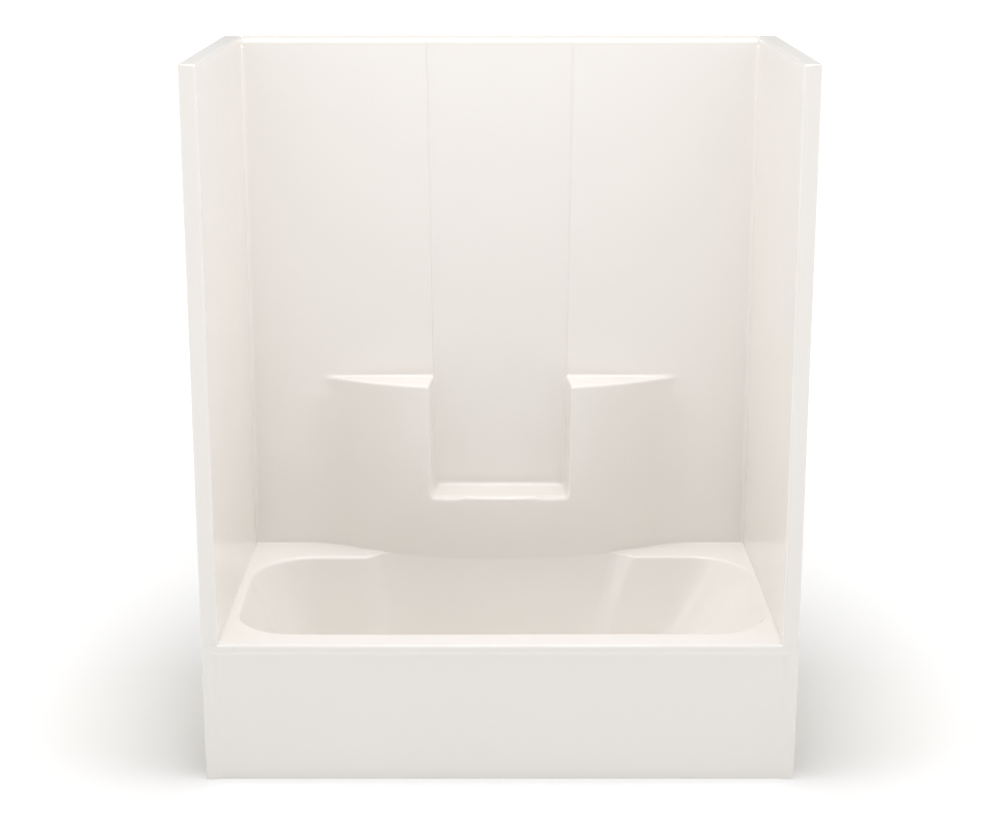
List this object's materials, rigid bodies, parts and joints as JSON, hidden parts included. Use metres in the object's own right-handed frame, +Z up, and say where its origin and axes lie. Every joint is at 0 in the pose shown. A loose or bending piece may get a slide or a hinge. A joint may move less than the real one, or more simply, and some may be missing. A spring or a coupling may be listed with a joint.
{
  "type": "tub and shower unit",
  "caption": "Moulded alcove tub and shower unit with apron, sloped backrest, corner ledges, shelves, centre panel with soap ledge, end walls and a stoppered drain.",
  "frame": {"origin": "middle of the footprint at floor level", "axes": "+X to the right of someone facing the apron, +Y towards the back wall, +Z up"},
  "size_m": [1.524, 0.813, 1.842],
  "materials": {
    "moulded_laminate": "glossy warm off-white gelcoat",
    "seal_strip": "satin off-white sealing strip",
    "timber": "sawn softwood",
    "plywood": "raw plywood",
    "zinc_plate": "bright zinc plate",
    "chrome_plate": "polished chrome plate",
    "black_rubber": "matt black"
  },
  "bodies": {
    "unit": {"tub": "moulded_laminate", "back_wall": "moulded_laminate", "left_end_wall": "moulded_laminate", "right_end_wall": "moulded_laminate", "back_deck_seal": "seal_strip", "left_deck_seal": "seal_strip", "right_deck_seal": "seal_strip", "left_corner_seal": "seal_strip", "right_corner_seal": "seal_strip", "left_corner_bolt_1": "zinc_plate", "left_corner_bolt_2": "zinc_plate", "left_corner_bolt_3": "zinc_plate", "left_corner_bolt_4": "zinc_plate", "left_corner_nut_1": "zinc_plate", "left_corner_nut_2": "zinc_plate", "left_corner_nut_3": "zinc_plate", "left_corner_nut_4": "zinc_plate", "right_corner_bolt_1": "zinc_plate", "right_corner_bolt_2": "zinc_plate", "right_corner_bolt_3": "zinc_plate", "right_corner_bolt_4": "zinc_plate", "right_corner_nut_1": "zinc_plate", "right_corner_nut_2": "zinc_plate", "right_corner_nut_3": "zinc_plate", "right_corner_nut_4": "zinc_plate", "front_runner": "timber", "rear_runner": "timber", "toe_board": "timber", "rail_batten": "timber", "apron_post_left": "timber", "apron_post_centre": "timber", "apron_post_right": "timber", "left_deck_batten": "timber", "right_deck_batten": "timber", "rear_deck_batten": "timber", "back_wall_batten_1": "timber", "back_wall_batten_2": "timber", "back_wall_batten_3": "timber", "back_wall_batten_4": "timber", "left_wall_batten_lower": "timber", "left_wall_batten_upper": "timber", "right_wall_batten_lower": "timber", "right_wall_batten_upper": "timber", "base_board": "plywood", "left_shelf_board": "plywood", "right_shelf_board": "plywood", "left_shelf_rib": "plywood", "right_shelf_rib": "plywood", "drain_body": "chrome_plate", "drain_gasket": "black_rubber", "drain_washer": "black_rubber", "drain_locknut": "zinc_plate", "stopper_post": "zinc_plate"},
    "stopper": {"drain_stopper": "chrome_plate", "stopper_seal": "black_rubber"}
  },
  "joints": [
    {"name": "stopper_lift", "type": "slide", "parent": "unit", "child": "stopper", "axis": [0, 0, 1], "range_m": [0, 0.008]}
  ]
}
